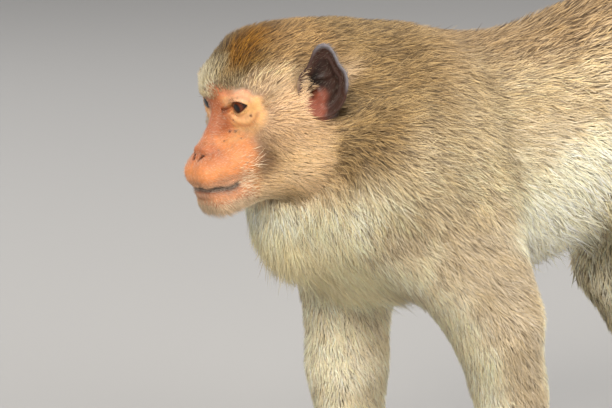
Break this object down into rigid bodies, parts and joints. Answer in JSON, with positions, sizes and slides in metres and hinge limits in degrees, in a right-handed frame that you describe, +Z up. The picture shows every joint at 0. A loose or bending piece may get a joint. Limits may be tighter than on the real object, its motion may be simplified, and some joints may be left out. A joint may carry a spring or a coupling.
{
  "type": "long-tailed macaque",
  "caption": "Life-size still model of an adult long-tailed macaque standing on all fours, head turned a little to its left, long tail carried clear of the floor.",
  "frame": {"origin": "floor level under the middle of the model's bounding box", "axes": "+X the animal's left, -Y the way it faces, +Y towards the tail, +Z up"},
  "size_m": [0.1942, 0.8498, 0.3658],
  "materials": {
    "fur_crown": "matte",
    "fur_back": "matte",
    "fur_limb": "matte",
    "fur_pale": "matte",
    "fur_tail": "matte",
    "skin": "satin",
    "eye": "gloss"
  },
  "bodies": {
    "root": {"head": "fur_crown", "neck": "fur_crown", "chest": "fur_pale", "abdomen": "fur_pale", "pelvis": "fur_back", "left_upper_arm": "fur_limb", "right_upper_arm": "fur_limb", "left_forearm": "fur_limb", "right_forearm": "fur_limb", "left_thigh": "fur_limb", "right_thigh": "fur_limb", "left_shank": "fur_limb", "right_shank": "fur_limb", "left_hand": "skin", "right_hand": "skin", "left_foot": "skin", "right_foot": "skin", "left_ear": "skin", "right_ear": "skin", "left_eye": "eye", "right_eye": "eye", "tail_1": "fur_tail", "tail_2": "fur_tail", "tail_3": "fur_tail", "tail_4": "fur_tail", "tail_5": "fur_tail"}
  },
  "joints": []
}
